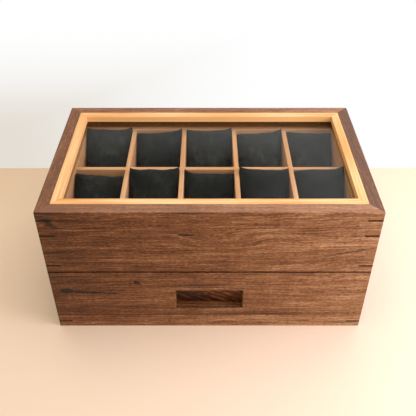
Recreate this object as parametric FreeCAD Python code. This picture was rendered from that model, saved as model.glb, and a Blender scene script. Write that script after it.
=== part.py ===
import FreeCAD, Part
import os
from math import asin, cos, degrees, radians, sin, sqrt, tan
from FreeCAD import Vector

# A walnut watch box: a lid with a glass pane, ten pillows in compartments, and a drawer below them.
# Millimetres. The origin is the middle of the footprint, on the surface that the box stands on.
# +X is to the right and +Z is up. The front, which the drawer comes out of, faces -Y.

# Outer size and walnut boards
width = 356.0
depth = 216.0
height = 174.0
board = 14.0
corner_radius = 1.5
edge_ease = 0.2
inner_ease = 0.4
fine_ease = 0.3
same_place = 1e-6
cut_overrun = 5.0

# Levels on the front face
seam_level = 152.7
seam_gap = 0.3
drawer_gap_level = 89.6
drawer_gap = 1.8
rail_top = 19.2
rail_gap = 0.3

# Dark splines let in across the mitres
spline_leg = 16.0
spline_thickness = 2.0
case_spline_levels = [8.5, 99.4, 142.3]
lid_spline_level = 163.0

# Lid: light rim, glass, and the beads that hold the glass up against the rim
rim_width = 9.2
rim_depth = 8.7
glass_thickness = 3.0
glass_clearance = 0.5
bead_width = 5.0
bead_height = 6.5
brad_radius = 0.5
brad_length = 12.0
brad_below_glass = 1.8
brad_spacing_long = 141.0
brad_spacing_short = 110.0

# Compartments
floor_thickness = 5.0
floor_level = 94.0
groove_depth = 5.0
felt_thickness = 1.0
liner_thickness = 7.6
liner_top = 152.0
divider_thickness = 5.5
columns = 5

# Pillows, each leaning from the front foot of its compartment up to the rear wall
pillow_length = 92.0
pillow_end_half_width = 28.3
pillow_middle_half_width = 26.4
pillow_half_thickness = 19.0
pillow_end_half_thickness = 1.2
pillow_flank_share = 0.6
pillow_sag = 6.0
pillow_fullness_power = 0.6
pillow_flare_power = 3
pillow_wall_gap = 1.3
pillow_foot_rise = 1.9
pillow_floor_gap = 0.3
pillow_stations = [-1.0, -0.94, -0.78, -0.45, 0.0, 0.45, 0.78, 0.94, 1.0]
# Heights of each pillow's left and right rear corners, as the pillows settled
back_row_corners = [(156.0, 155.9), (150.5, 156.5), (154.2, 157.0), (149.5, 155.0), (152.8, 149.5)]
front_row_corners = [(150.0, 146.5), (153.5, 157.0), (153.5, 149.5), (156.0, 155.0), (156.0, 156.0)]

# Base panel that the drawer runs on
base_thickness = 6.0

# Drawer
drawer_mitre_gap = 0.4
drawer_board = 8.0
drawer_side_clearance = 0.6
drawer_run_clearance = 0.2
drawer_rear_clearance = 3.0
drawer_box_top = 87.4
drawer_back_top = 93.3
drawer_travel = 145.0
finger_count = 7
bottom_thickness = 4.0
bottom_rise = 6.0
bottom_groove = 4.0
felt_clearance = 0.4
kicker_width = 12.0
kicker_bottom = 88.0
stop_width = 24.0
stop_bottom = 88.3
stop_offset = 70.0
stop_clearance = 0.3
back_shoulder = 16.0

# Finger pull in the drawer front
pull_half_width = 38.0
pull_bottom = 31.2
pull_top = 59.5
pull_mouth_radius = 1.5
pull_depth = 11.3
pull_backing_border = 6.0

# Screws: head radius, head height, shank radius and length of each kind
front_screw_size = (3.2, 1.8, 1.6, 18.0)
hinge_screw_size = (2.3, 1.4, 1.2, 10.0)
front_slot_width = 0.8
front_slot_length = 8.0
front_slot_depth = 0.8
hinge_slot_width = 0.7
hinge_slot_depth = 0.6
front_screw_offsets = [-130.0, 130.0]
front_screw_levels = [38.0, 74.0]

# Stop hinges at the back
hinge_offset = 110.0
hinge_half_width = 19.0
hinge_reach = 11.0
leaf_thickness = 2.2
barrel_radius = 2.75
barrel_half_length = 13.0
lid_knuckle_half_length = 4.85
knuckle_gap = 0.3
barrel_clearance = 0.35
barrel_recess = 0.5
axis_behind_back = 0.5
pin_radius = 1.25
pin_running_clearance = 0.05
stop_angle = 47.75
hinge_screw_spacing = 12.5
hinge_screw_back = 6.2

# Values worked out from the ones above
x_out = width / 2
y_out = depth / 2
x_in = x_out - board
y_in = y_out - board
case_top = seam_level - seam_gap / 2
lid_bottom = seam_level + seam_gap / 2
drawer_front_top = drawer_gap_level - drawer_gap / 2
board_bottom = drawer_gap_level + drawer_gap / 2
drawer_front_bottom = rail_top + rail_gap
glass_top = height - rim_depth
glass_bottom = glass_top - glass_thickness
bead_bottom = glass_bottom - bead_height
felt_level = floor_level + floor_thickness
pillow_floor = felt_level + felt_thickness
x_liner = x_in - liner_thickness
y_liner = y_in - liner_thickness
cell_width = (2 * x_liner - (columns - 1) * divider_thickness) / columns
cell_pitch = cell_width + divider_thickness
axis_y = y_out + axis_behind_back
base_bottom = rail_top - base_thickness
drawer_x = x_in - drawer_side_clearance
drawer_front_y = -y_in
drawer_rear_y = y_in - drawer_rear_clearance
drawer_floor = rail_top + drawer_run_clearance


def box(x0, x1, y0, y1, z0, z1):
    """Upright block between six planes."""
    return Part.makeBox(x1 - x0, y1 - y0, z1 - z0, Vector(x0, y0, z0))


def prism(plan, z0, z1):
    """Upright solid over a plan outline."""
    corners = [Vector(x, y, z0) for x, y in plan]
    outline = Part.makePolygon(corners + corners[:1])
    return Part.Face(outline).extrude(Vector(0, 0, z1 - z0))


def join(solids):
    """Separate solids kept as one group."""
    return Part.makeCompound(solids)


def mitred_frame(inset, thickness, z0, z1):
    """Four mitred strips that run round the box, inset from its outer faces."""
    xo = x_out - inset
    yo = y_out - inset
    xi = xo - thickness
    yi = yo - thickness
    plans = {
        "front": [(-xo, -yo), (xo, -yo), (xi, -yi), (-xi, -yi)],
        "back": [(-xo, yo), (-xi, yi), (xi, yi), (xo, yo)],
        "left": [(-xo, -yo), (-xi, -yi), (-xi, yi), (-xo, yo)],
        "right": [(xo, -yo), (xo, yo), (xi, yi), (xi, -yi)],
    }
    return {side: prism(plan, z0, z1) for side, plan in plans.items()}


def edges_at(solid, level):
    """Edges that lie wholly at one height."""
    return [edge for edge in solid.Edges if all(abs(v.Z - level) < same_place for v in edge.Vertexes)]


def upright_edges(solid):
    """Edges that run straight up."""
    return [edge for edge in solid.Edges if abs(edge.Vertexes[0].Z - edge.Vertexes[-1].Z) > 1.0]


def eased_block(z0, z1, round_top=False):
    """Outer shape of the box between two levels, with its corners and edges eased."""
    block = box(-x_out, x_out, -y_out, y_out, z0, z1)
    rounded = upright_edges(block)
    if round_top:
        rounded += edges_at(block, z1)
    block = block.makeFillet(corner_radius, rounded)
    sharp = edges_at(block, z0)
    if not round_top:
        sharp += edges_at(block, z1)
    return block.makeChamfer(edge_ease, sharp)


def corner_signs():
    """The four corners, as signs along X and Y."""
    return [(sx, sy) for sy in (-1, 1) for sx in (-1, 1)]


def spline(sx, sy, level):
    """Triangular slip let in level across one mitred corner."""
    corner = (sx * x_out, sy * y_out)
    along_x = (sx * (x_out - spline_leg), sy * y_out)
    along_y = (sx * x_out, sy * (y_out - spline_leg))
    half = spline_thickness / 2
    return prism([corner, along_x, along_y], level - half, level + half)


def screw(head_radius, head_height, shank_radius, length):
    """Countersunk screw, head up, with the top of its head at the origin."""
    head = Part.makeCone(shank_radius, head_radius, head_height, Vector(0, 0, -head_height))
    shank = Part.makeCylinder(shank_radius, length - head_height, Vector(0, 0, -length))
    return head.fuse(shank).removeSplitter()


def ease_inner_edge(strip, level, size):
    """A mitred strip with the arris taken off its inner edge at one height."""
    by_length = sorted(edges_at(strip, level), key=lambda edge: edge.Length)
    return strip.makeChamfer(size, [by_length[-2]])


def ease_long_edges(strip, level, size):
    """A straight strip with the arris taken off its two long edges at one height."""
    by_length = sorted(edges_at(strip, level), key=lambda edge: edge.Length)
    return strip.makeChamfer(size, by_length[-2:])


def cut_all(solid, tools):
    """One solid with each tool taken out of it in turn."""
    for tool in tools:
        solid = solid.cut(tool)
    return solid


# Hinges

def hinge_profile(side, nose):
    """Section of a leaf across the hinge: side is -1 for the case leaf and 1 for the lid leaf."""
    near = seam_gap / 2
    far = near + leaf_thickness
    slope = tan(radians(stop_angle))
    near_end = near / slope if nose else 0.0
    far_end = far / slope if nose else 0.0
    outline = [(-hinge_reach, near), (near_end, near), (far_end, far), (-hinge_reach, far)]
    return [Vector(0, axis_y + y, seam_level + side * z) for y, z in outline]


def hinge_plate(side, x0, x1, nose):
    """Stretch of leaf plate between two places along the hinge."""
    corners = [point + Vector(x0, 0, 0) for point in hinge_profile(side, nose)]
    outline = Part.makePolygon(corners + corners[:1])
    return Part.Face(outline).extrude(Vector(x1 - x0, 0, 0))


def rod(radius, x0, x1):
    """Round bar along the hinge axis."""
    return Part.makeCylinder(radius, x1 - x0, Vector(x0, axis_y, seam_level), Vector(1, 0, 0))


shoulder = barrel_half_length + knuckle_gap
case_knuckle_start = lid_knuckle_half_length + knuckle_gap
case_knuckles = [(-barrel_half_length, -case_knuckle_start), (case_knuckle_start, barrel_half_length)]
lid_knuckles = [(-lid_knuckle_half_length, lid_knuckle_half_length)]


def hinge_leaf(side, own, other, bore):
    """Leaf with its knuckles, clear of the other leaf's, and a stop shoulder at each end."""
    leaf = hinge_plate(side, -shoulder, shoulder, False)
    leaf = leaf.fuse(hinge_plate(side, -hinge_half_width, -shoulder, True))
    leaf = leaf.fuse(hinge_plate(side, shoulder, hinge_half_width, True))
    leaf = leaf.fuse([rod(barrel_radius, x0, x1) for x0, x1 in own])
    room = barrel_radius + barrel_clearance
    clearances = [rod(room, x0 - knuckle_gap, x1 + knuckle_gap) for x0, x1 in other]
    leaf = cut_all(leaf, clearances)
    leaf = leaf.cut(rod(bore, -shoulder, shoulder))
    return leaf.removeSplitter()


def hinge_screws(side):
    """The three screws of one leaf, their heads flush with the face of the leaf."""
    solids = []
    for x in (-hinge_screw_spacing, 0.0, hinge_screw_spacing):
        solid = screw(*hinge_screw_size)
        if side > 0:
            solid.rotate(Vector(0, 0, 0), Vector(1, 0, 0), 180)
        solid.translate(Vector(x, axis_y - hinge_screw_back, seam_level + side * seam_gap / 2))
        solids.append(solid)
    return solids


def cut_screw_slots(solids, side):
    """The same screws with a driver slot in each head."""
    face = seam_level + side * seam_gap / 2
    cut = []
    for solid in solids:
        x0 = solid.BoundBox.Center.x - hinge_slot_width / 2
        x1 = x0 + hinge_slot_width
        cut.append(solid.cut(box(x0, x1, y_in, y_out, face - hinge_slot_depth, face + hinge_slot_depth)))
    return cut


def at_both_hinges(solids):
    """Copies of hinge solids at the left and the right hinge."""
    placed = []
    for x in (-hinge_offset, hinge_offset):
        for solid in solids:
            copy = solid.copy()
            copy.translate(Vector(x, 0, 0))
            placed.append(copy)
    return placed


def hinge_seat(side):
    """Wood taken out for one leaf: its mortise and the round recess for the barrel."""
    near = seam_level + side * seam_gap / 2
    far = near + side * leaf_thickness
    low, high = sorted((far, seam_level))
    front_y = axis_y - hinge_reach
    mortise = box(-hinge_half_width, hinge_half_width, front_y, y_out + cut_overrun, low, high)
    recess_end = barrel_half_length + barrel_recess
    recess = rod(barrel_radius + barrel_recess, -recess_end, recess_end)
    return mortise.fuse(recess)


case_leaf = hinge_leaf(-1, case_knuckles, lid_knuckles, pin_radius)
lid_leaf = hinge_leaf(1, lid_knuckles, case_knuckles, pin_radius + pin_running_clearance)
case_screw_set = hinge_screws(-1)
lid_screw_set = hinge_screws(1)
case_leaf = cut_all(case_leaf, case_screw_set)
lid_leaf = cut_all(lid_leaf, lid_screw_set)
hinge_pin = rod(pin_radius, -barrel_half_length, barrel_half_length)

nodes = {}
nodes["hinge_case_leaves"] = join(at_both_hinges([case_leaf]))
nodes["hinge_lid_leaves"] = join(at_both_hinges([lid_leaf]))
nodes["hinge_pins"] = join(at_both_hinges([hinge_pin]))
nodes["case_hinge_screws"] = join(at_both_hinges(cut_screw_slots(case_screw_set, -1)))
nodes["lid_hinge_screws"] = join(at_both_hinges(cut_screw_slots(lid_screw_set, 1)))

# Case: panels in grooves, then the walnut boards round them

grooved_x = x_in + groove_depth
grooved_y = y_in + groove_depth
base_panel = box(-grooved_x, grooved_x, -grooved_y, grooved_y, base_bottom, rail_top)
compartment_floor = box(-grooved_x, grooved_x, -grooved_y, grooved_y, floor_level, felt_level)
nodes["base_panel"] = base_panel
nodes["compartment_floor"] = compartment_floor

case_kerfs = [spline(sx, sy, level) for sx, sy in corner_signs() for level in case_spline_levels]
case_block = eased_block(0.0, case_top)
nodes["corner_splines"] = join([kerf.common(case_block) for kerf in case_kerfs])

panels = [base_panel, compartment_floor]
full_boards = mitred_frame(0.0, board, 0.0, case_top)
upper_board = mitred_frame(0.0, board, board_bottom, case_top)["front"]
bottom_rail = mitred_frame(0.0, board, 0.0, rail_top)["front"]
back_board = full_boards["back"].common(case_block)
back_board = cut_all(back_board, at_both_hinges([hinge_seat(-1)] + case_screw_set))

boards = {
    "left_side_board": full_boards["left"].common(case_block),
    "right_side_board": full_boards["right"].common(case_block),
    "back_board": back_board,
    "upper_front_board": upper_board.common(eased_block(board_bottom, case_top)),
    "bottom_front_rail": bottom_rail.common(eased_block(0.0, rail_top)),
}
for name, solid in boards.items():
    nodes[name] = cut_all(solid, panels + case_kerfs)

# Compartments

liners = mitred_frame(board, liner_thickness, felt_level, liner_top)
for side, solid in liners.items():
    nodes[side + "_liner"] = ease_inner_edge(solid, liner_top, fine_ease)

nodes["compartment_felt"] = box(-x_liner, x_liner, -y_liner, y_liner, felt_level, pillow_floor)

half_divider = divider_thickness / 2
lap_level = (pillow_floor + liner_top) / 2
cross_places = [(column + 1) * cell_pitch - half_divider - x_liner for column in range(columns - 1)]
long_divider = box(-x_liner, x_liner, -half_divider, half_divider, pillow_floor, liner_top)
long_divider = ease_long_edges(long_divider, liner_top, fine_ease)
for number, x in enumerate(cross_places, 1):
    x0 = x - half_divider
    x1 = x + half_divider
    cross = ease_long_edges(box(x0, x1, -y_liner, y_liner, pillow_floor, liner_top), liner_top, fine_ease)
    lower_lap = box(x0, x1, -half_divider, half_divider, pillow_floor, lap_level)
    upper_lap = box(x0, x1, -half_divider, half_divider, lap_level, liner_top)
    nodes["cross_divider_%d" % number] = cross.cut(lower_lap)
    long_divider = long_divider.cut(upper_lap)
nodes["long_divider"] = long_divider

# Lid

lid_kerfs = [spline(sx, sy, lid_spline_level) for sx, sy in corner_signs()]
lid_block = eased_block(lid_bottom, height, round_top=True)
nodes["lid_splines"] = join([kerf.common(lid_block) for kerf in lid_kerfs])

brads = []
for side in (-1, 1):
    y_face = side * (y_in - bead_width)
    x_face = side * (x_in - bead_width)
    brad_level = glass_bottom - brad_below_glass
    for x in (-brad_spacing_long, 0.0, brad_spacing_long):
        start = Vector(x, y_face, brad_level)
        brads.append(Part.makeCylinder(brad_radius, brad_length, start, Vector(0, side, 0)))
    for y in (-brad_spacing_short / 2, brad_spacing_short / 2):
        start = Vector(x_face, y, brad_level)
        brads.append(Part.makeCylinder(brad_radius, brad_length, start, Vector(side, 0, 0)))
nodes["bead_brads"] = join(brads)

lid_seats = at_both_hinges([hinge_seat(1)] + lid_screw_set)
for side, solid in mitred_frame(0.0, board, lid_bottom, height).items():
    tools = lid_kerfs + brads
    if side == "back":
        tools = tools + lid_seats
    nodes["lid_%s_rail" % side] = cut_all(solid.common(lid_block), tools)

for side, solid in mitred_frame(board, bead_width, bead_bottom, glass_bottom).items():
    nodes[side + "_glass_bead"] = cut_all(ease_inner_edge(solid, bead_bottom, inner_ease), brads)

for side, solid in mitred_frame(board, rim_width, glass_top, height).items():
    nodes[side + "_rim"] = ease_inner_edge(solid, height, inner_ease)

x_glass = x_in - glass_clearance
y_glass = y_in - glass_clearance
nodes["glass_pane"] = box(-x_glass, x_glass, -y_glass, y_glass, glass_bottom, glass_top)

# Drawer

tip = drawer_mitre_gap * sqrt(2)
front_plan = [(-x_out + tip, -y_out), (x_out - tip, -y_out), (x_in - tip, -y_in), (-x_in + tip, -y_in)]
drawer_front = prism(front_plan, drawer_front_bottom, drawer_front_top)
drawer_front = drawer_front.common(eased_block(drawer_front_bottom, drawer_front_top))
pull_slot = box(-pull_half_width, pull_half_width, -y_out - cut_overrun, -y_in, pull_bottom, pull_top)
backing_half = pull_half_width + pull_backing_border
backing_low = pull_bottom - pull_backing_border
backing_high = pull_top + pull_backing_border
pull_backing = box(-backing_half, backing_half, -y_out + pull_depth, -y_in, backing_low, backing_high)

front_screw_shapes = []
for x in front_screw_offsets:
    for z in front_screw_levels:
        solid = screw(*front_screw_size)
        solid.rotate(Vector(0, 0, 0), Vector(1, 0, 0), -90)
        solid.translate(Vector(x, drawer_front_y + drawer_board, z))
        front_screw_shapes.append(solid)

drawer_front = cut_all(drawer_front, [pull_slot, pull_backing] + front_screw_shapes)


def is_at_mouth(corner):
    """Whether a corner is one of the four of the slot's mouth."""
    at_front = abs(corner.Y + y_out) < same_place
    at_side = abs(abs(corner.X) - pull_half_width) < same_place
    return at_front and at_side


pull_mouth = [edge for edge in drawer_front.Edges if all(is_at_mouth(corner) for corner in edge.Vertexes)]
nodes["drawer_front"] = drawer_front.makeFillet(pull_mouth_radius, pull_mouth)
nodes["pull_backing"] = pull_backing

bottom_low = drawer_floor + bottom_rise
bottom_high = bottom_low + bottom_thickness
inner_x = drawer_x - drawer_board
inner_front_y = drawer_front_y + drawer_board
inner_rear_y = drawer_rear_y - drawer_board
drawer_bottom = box(-inner_x - bottom_groove, inner_x + bottom_groove,
                    inner_front_y - bottom_groove, inner_rear_y + bottom_groove, bottom_low, bottom_high)
nodes["drawer_bottom"] = drawer_bottom
nodes["drawer_felt"] = box(-inner_x + felt_clearance, inner_x - felt_clearance,
                           inner_front_y + felt_clearance, inner_rear_y - felt_clearance,
                           bottom_high, bottom_high + felt_thickness)

finger = (drawer_box_top - drawer_floor) / finger_count


def corner_fingers(first):
    """Every second slice of the four corners, which one of the two boards gives up to the other."""
    slices = []
    for sx, sy in corner_signs():
        x0, x1 = sorted((sx * inner_x, sx * drawer_x))
        y0, y1 = (drawer_front_y, inner_front_y) if sy < 0 else (inner_rear_y, drawer_rear_y)
        for number in range(first, finger_count, 2):
            z0 = drawer_floor + number * finger
            slices.append(box(x0, x1, y0, y1, z0, z0 + finger))
    return slices


box_front = box(-drawer_x, drawer_x, drawer_front_y, inner_front_y, drawer_floor, drawer_box_top)
box_back = box(-drawer_x, drawer_x, inner_rear_y, drawer_rear_y, drawer_floor, drawer_box_top)
back_middle = drawer_x - back_shoulder
raised_back = box(-back_middle, back_middle, inner_rear_y, drawer_rear_y, drawer_box_top, drawer_back_top)
box_back = box_back.fuse(raised_back).removeSplitter()
box_left = box(-drawer_x, -inner_x, drawer_front_y, drawer_rear_y, drawer_floor, drawer_box_top)
box_right = box(inner_x, drawer_x, drawer_front_y, drawer_rear_y, drawer_floor, drawer_box_top)
nodes["drawer_box_front"] = cut_all(box_front, corner_fingers(1) + [drawer_bottom] + front_screw_shapes)
nodes["drawer_box_back"] = cut_all(box_back, corner_fingers(1) + [drawer_bottom])
nodes["drawer_box_left"] = cut_all(box_left, corner_fingers(0) + [drawer_bottom])
nodes["drawer_box_right"] = cut_all(box_right, corner_fingers(0) + [drawer_bottom])

driver_slots = []
for x in front_screw_offsets:
    x0 = x - front_slot_width / 2
    x1 = x + front_slot_width / 2
    for z in front_screw_levels:
        z0 = z - front_slot_length / 2
        z1 = z + front_slot_length / 2
        driver_slots.append(box(x0, x1, inner_front_y - front_slot_depth, inner_front_y + cut_overrun, z0, z1))
nodes["drawer_front_screws"] = join([cut_all(solid, driver_slots) for solid in front_screw_shapes])

kickers = []
stops = []
stop_rear_y = inner_rear_y - drawer_travel - stop_clearance
for side in (-1, 1):
    x0, x1 = sorted((side * (x_in - kicker_width), side * x_in))
    kickers.append(box(x0, x1, -y_in, y_in, kicker_bottom, floor_level))
    x = side * stop_offset
    stops.append(box(x - stop_width / 2, x + stop_width / 2, -y_in, stop_rear_y, stop_bottom, floor_level))
nodes["drawer_kickers"] = join(kickers)
nodes["drawer_stops"] = join(stops)

# Pillows

def oval(half_width, half_thickness):
    """Section of a pillow: crown, rounded flank, underside and flank, as four tangent arcs."""
    flank = pillow_flank_share * half_thickness
    inner = half_width - flank
    crown = (inner ** 2 + half_thickness ** 2 - flank ** 2) / (2 * (half_thickness - flank))
    share = flank / (crown - flank)
    x = inner * (1 + share)
    z = (crown - half_thickness) * share
    arcs = [
        [(-x, z), (0, half_thickness), (x, z)],
        [(x, z), (half_width, 0), (x, -z)],
        [(x, -z), (0, -half_thickness), (-x, -z)],
        [(-x, -z), (-half_width, 0), (-x, z)],
    ]
    edges = [Part.Arc(*[Vector(px, 0, pz) for px, pz in arc]).toShape() for arc in arcs]
    return Part.Wire(edges)


def pillow_wire(station, roll):
    """One section along a pillow: station runs from -1 at its foot to 1 at its rear edge."""
    fullness = (1 - station ** 2) ** pillow_fullness_power
    half_thickness = pillow_end_half_thickness
    half_thickness += (pillow_half_thickness - pillow_end_half_thickness) * fullness
    flare = abs(station) ** pillow_flare_power
    half_width = pillow_middle_half_width
    half_width += (pillow_end_half_width - pillow_middle_half_width) * flare
    wire = oval(half_width, half_thickness)
    wire.rotate(Vector(0, 0, 0), Vector(0, 1, 0), -roll * (station + 1) / 2)
    wire.translate(Vector(0, station * pillow_length / 2, -pillow_sag * (1 - station ** 2)))
    return wire


def pillow(x, wall_y, left_height, right_height):
    """Crowned cloth pillow with flared corners, leaning back against a wall at wall_y."""
    roll = degrees(asin((right_height - left_height) / (2 * pillow_end_half_width)))
    foot = pillow_floor + pillow_foot_rise
    rise = (left_height + right_height) / 2 - foot
    lean = asin(rise / pillow_length)
    solid = Part.makeLoft([pillow_wire(station, roll) for station in pillow_stations], True, False)
    solid.rotate(Vector(0, 0, 0), Vector(1, 0, 0), degrees(lean))
    rear_y = wall_y - pillow_wall_gap - pillow_end_half_thickness
    middle_y = rear_y - cos(lean) * pillow_length / 2
    middle_z = foot + sin(lean) * pillow_length / 2
    solid.translate(Vector(x, middle_y, middle_z))
    below = box(x - cell_pitch, x + cell_pitch, -y_out, y_out, base_bottom, pillow_floor + pillow_floor_gap)
    return solid.cut(below)


cell_centres = [(column + 0.5) * cell_width + column * divider_thickness - x_liner for column in range(columns)]
rows = {"back": (y_liner, back_row_corners), "front": (-half_divider, front_row_corners)}
for row, (wall_y, corners) in rows.items():
    for number, (x, heights) in enumerate(zip(cell_centres, corners), 1):
        nodes["pillow_%s_%d" % (row, number)] = pillow(x, wall_y, *heights)

os.makedirs("parts", exist_ok=True)
for name, shape in nodes.items():
    shape.exportStep("parts/%s.step" % name)
    extent = shape.BoundBox
    size = (extent.XLength, extent.YLength, extent.ZLength)
    print("%-22s %7.1f %7.1f %7.1f  volume %10.1f" % ((name,) + size + (shape.Volume,)), shape.isValid())
print(len(nodes), "nodes; compartment %.2f wide" % cell_width)
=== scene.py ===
# %% [markdown]
# # A walnut watch box with a drawer
# The box has a walnut case and lid joined with mitres and dark splines, a pale rim round a pane of
# glass, ten small cloth pillows in two rows, and a drawer that is pulled by a slot in its front.
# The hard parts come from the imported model, at their real size, and only get their finish here.
# The pillows are made here, because cloth needs folds and soft corners that a solid can't show.

import math

import bpy
import numpy as np
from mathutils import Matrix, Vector


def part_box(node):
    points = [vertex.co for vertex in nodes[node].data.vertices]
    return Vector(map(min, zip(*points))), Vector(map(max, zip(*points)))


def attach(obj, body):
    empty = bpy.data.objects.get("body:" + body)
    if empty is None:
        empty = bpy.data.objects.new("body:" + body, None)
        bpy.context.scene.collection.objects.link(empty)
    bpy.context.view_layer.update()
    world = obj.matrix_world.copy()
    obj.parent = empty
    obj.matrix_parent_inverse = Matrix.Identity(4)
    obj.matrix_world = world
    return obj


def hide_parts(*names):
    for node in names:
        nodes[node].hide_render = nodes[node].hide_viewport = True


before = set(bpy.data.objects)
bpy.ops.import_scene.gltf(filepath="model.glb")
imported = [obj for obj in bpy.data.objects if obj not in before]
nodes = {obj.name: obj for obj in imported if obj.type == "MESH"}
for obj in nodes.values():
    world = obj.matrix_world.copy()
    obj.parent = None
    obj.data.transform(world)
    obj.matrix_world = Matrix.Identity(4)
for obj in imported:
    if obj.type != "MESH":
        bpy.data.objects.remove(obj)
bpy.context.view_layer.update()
scene = bpy.context.scene
MM = 0.001
lid_low, lid_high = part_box("lid_front_rail")
HALF_WIDTH = lid_high.x
FRONT = lid_low.y

# %% [markdown]
# ## Camera
# The photograph was taken from in front of the box and well above it. A camera could be moved by eye
# until the edges meet, but it is surer to work it out from six corners of the box. That gives a long
# lens, a tilt of 38.7 degrees and no shift, so lines that are upright on the box lean inwards towards
# the bottom of the picture, as they do in the photograph.

# %% Place the camera
PICTURE = 416
FOCAL_LENGTH_IN_PIXELS = 581.03
SENSOR = 36.0
TILT = math.radians(38.692)
CAMERA_PLACE = (-0.0015, -0.56155, 0.54313)
camera_data = bpy.data.cameras.new("camera")
camera_data.sensor_width = SENSOR
camera_data.lens = SENSOR * FOCAL_LENGTH_IN_PIXELS / PICTURE
camera = bpy.data.objects.new("camera", camera_data)
camera.location = CAMERA_PLACE
camera.rotation_euler = (math.pi / 2 - TILT, 0.0, 0.0)
scene.collection.objects.link(camera)
scene.camera = camera
scene.view_settings.view_transform = "Standard"
print("lens", round(camera_data.lens, 2), "mm")

# %% [markdown]
# ## Helpers for materials
# Every finish below is built from nodes. One function adds a node, sets it and links it, and one
# turns the hex colour that a paint program shows into the linear numbers that a shader works with.
# The others put nodes together for what every finish here needs: a cloudy pattern of a real size, a
# sum of such patterns, and tints laid over a colour.

# %% Helpers
# Colour sockets of a Mix node, by number because their names come more than once
MIX_A, MIX_B, MIX_RESULT = 6, 7, 2


def linear(hex_colour):
    """Linear RGBA of an sRGB hex colour: each channel through the sRGB curve, fully opaque."""
    channel = np.array([int(hex_colour[i : i + 2], 16) for i in (1, 3, 5)]) / 255
    curve = np.where(channel <= 0.04045, channel / 12.92, ((channel + 0.055) / 1.055) ** 2.4)
    return (*curve.tolist(), 1.0)


def add(tree, kind, inputs=None, stops=(), **settings):
    """One shader node with its settings. Each input is a number, a vector or another node's output.

    A colour ramp also takes its stops, each a place from 0 to 1 and a hex colour.
    """
    node = tree.nodes.new("ShaderNode" + kind)
    for name, value in settings.items():
        setattr(node, name, value)
    for socket, value in (inputs or {}).items():
        if isinstance(value, bpy.types.NodeSocket):
            tree.links.new(value, node.inputs[socket])
        else:
            node.inputs[socket].default_value = value
    if stops:
        band = node.color_ramp.elements
        for place, _ in stops[1:-1]:
            band.new(place)
        for element, (place, colour) in zip(band, stops):
            element.position = place
            element.color = linear(colour)
    return node


def new_material(name):
    """An empty material with a Principled shader: the material, its tree and the shader."""
    material = bpy.data.materials.new(name)
    material.use_nodes = True
    tree = material.node_tree
    tree.nodes.clear()
    shader = add(tree, "BsdfPrincipled")
    add(tree, "OutputMaterial", {"Surface": shader.outputs[0]})
    return material, tree, shader


def figure(tree, place, size, seed=0.0, detail=2.0, roughness=0.5):
    """Cloudy pattern from 0 to 1 whose patches have the given size in millimetres along X, Y and Z."""
    scale = tuple(1 / (s * MM) for s in size)
    start = (seed, seed * 1.7, seed * 0.6)
    sized = add(tree, "Mapping", {"Vector": place, "Scale": scale, "Location": start}).outputs[0]
    return add(tree, "TexNoise", {"Vector": sized, "Scale": 1.0, "Detail": detail, "Roughness": roughness})


def weighed(tree, parts, start=0.5):
    """Start plus the sum of weight times (pattern - 0.5), so all patterns swing about the same middle."""
    total = start
    for pattern, weight in parts:
        centred = add(tree, "Math", {0: pattern, 1: 0.5}, operation="SUBTRACT").outputs[0]
        total = add(tree, "Math", {0: centred, 1: weight, 2: total}, operation="MULTIPLY_ADD").outputs[0]
    return total


def layered(tree, colour, layers):
    """Tints laid over a colour one after the other, each by its own share from 0 to 1."""
    for share, tint in layers:
        blend = {"Factor": share, MIX_A: colour, MIX_B: linear(tint)}
        colour = add(tree, "Mix", blend, data_type="RGBA", clamp_factor=True).outputs[MIX_RESULT]
    return colour


def rise(tree):
    """How far a face looks up, from the Z of its normal: 1 on top, 0 on an upright face, -1 below."""
    return add(tree, "SeparateXYZ", {0: add(tree, "NewGeometry").outputs["True Normal"]}).outputs[2]


def paint(material, *names):
    """Give CAD nodes their finish."""
    for name in names:
        nodes[name].data.materials.clear()
        nodes[name].data.materials.append(material)


print("#7c4f2e, a brown, is", [round(value, 3) for value in linear("#7c4f2e")[:3]], "in linear light")

# %% [markdown]
# ## Walnut
# Walnut grows in rings round the heart of a log, and a board is a slice through them. A picture of
# wood could be wrapped round each board, but it would stretch at the edges and break at the corners.
# So the pattern here is solid: it is worked out from the distance to a heart line that runs along the
# board, and each face cuts through it as a saw would. The rings bend gently, and knots push them
# aside. Most of these boards were cut far from the heart, so their lines run nearly straight.

# %% Knots, streaks and glue lines
WALNUT = [(0.08, "#2d1507"), (0.32, "#5b3215"), (0.52, "#7c4f2e"), (0.72, "#9b704d"), (0.94, "#c49b76")]
WALNUT_DARK = "#1c0c05"
# Tint of the painted sheen on faces that look up
PAINTED_SHEEN_TINT = "#c8a488"
MITRE_OFFSET = HALF_WIDTH + FRONT
GLUE_LINE, GLUE_DARKNESS = 0.3 * MM, 0.45
# A mark is fully dark up to 0.2 of its size and gone at 1.3 times it. Its push reaches 3.2 times it.
CORE_START, CORE_END, PUSH_END = 0.2, 1.3, 3.2


def shaken(tree, place, size, reach, seed, detail):
    """Place moved along X, Y and Z by up to half the reach either way, in waves of a size in millimetres."""
    wave = figure(tree, place, size, seed, detail).outputs["Color"]
    swing = add(tree, "VectorMath", {0: wave, 1: (0.5, 0.5, 0.5)}, operation="SUBTRACT").outputs[0]
    swing = add(tree, "VectorMath", {0: swing, 1: reach}, operation="MULTIPLY").outputs[0]
    return add(tree, "VectorMath", {0: place, 1: swing}, operation="ADD").outputs[0]


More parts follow.
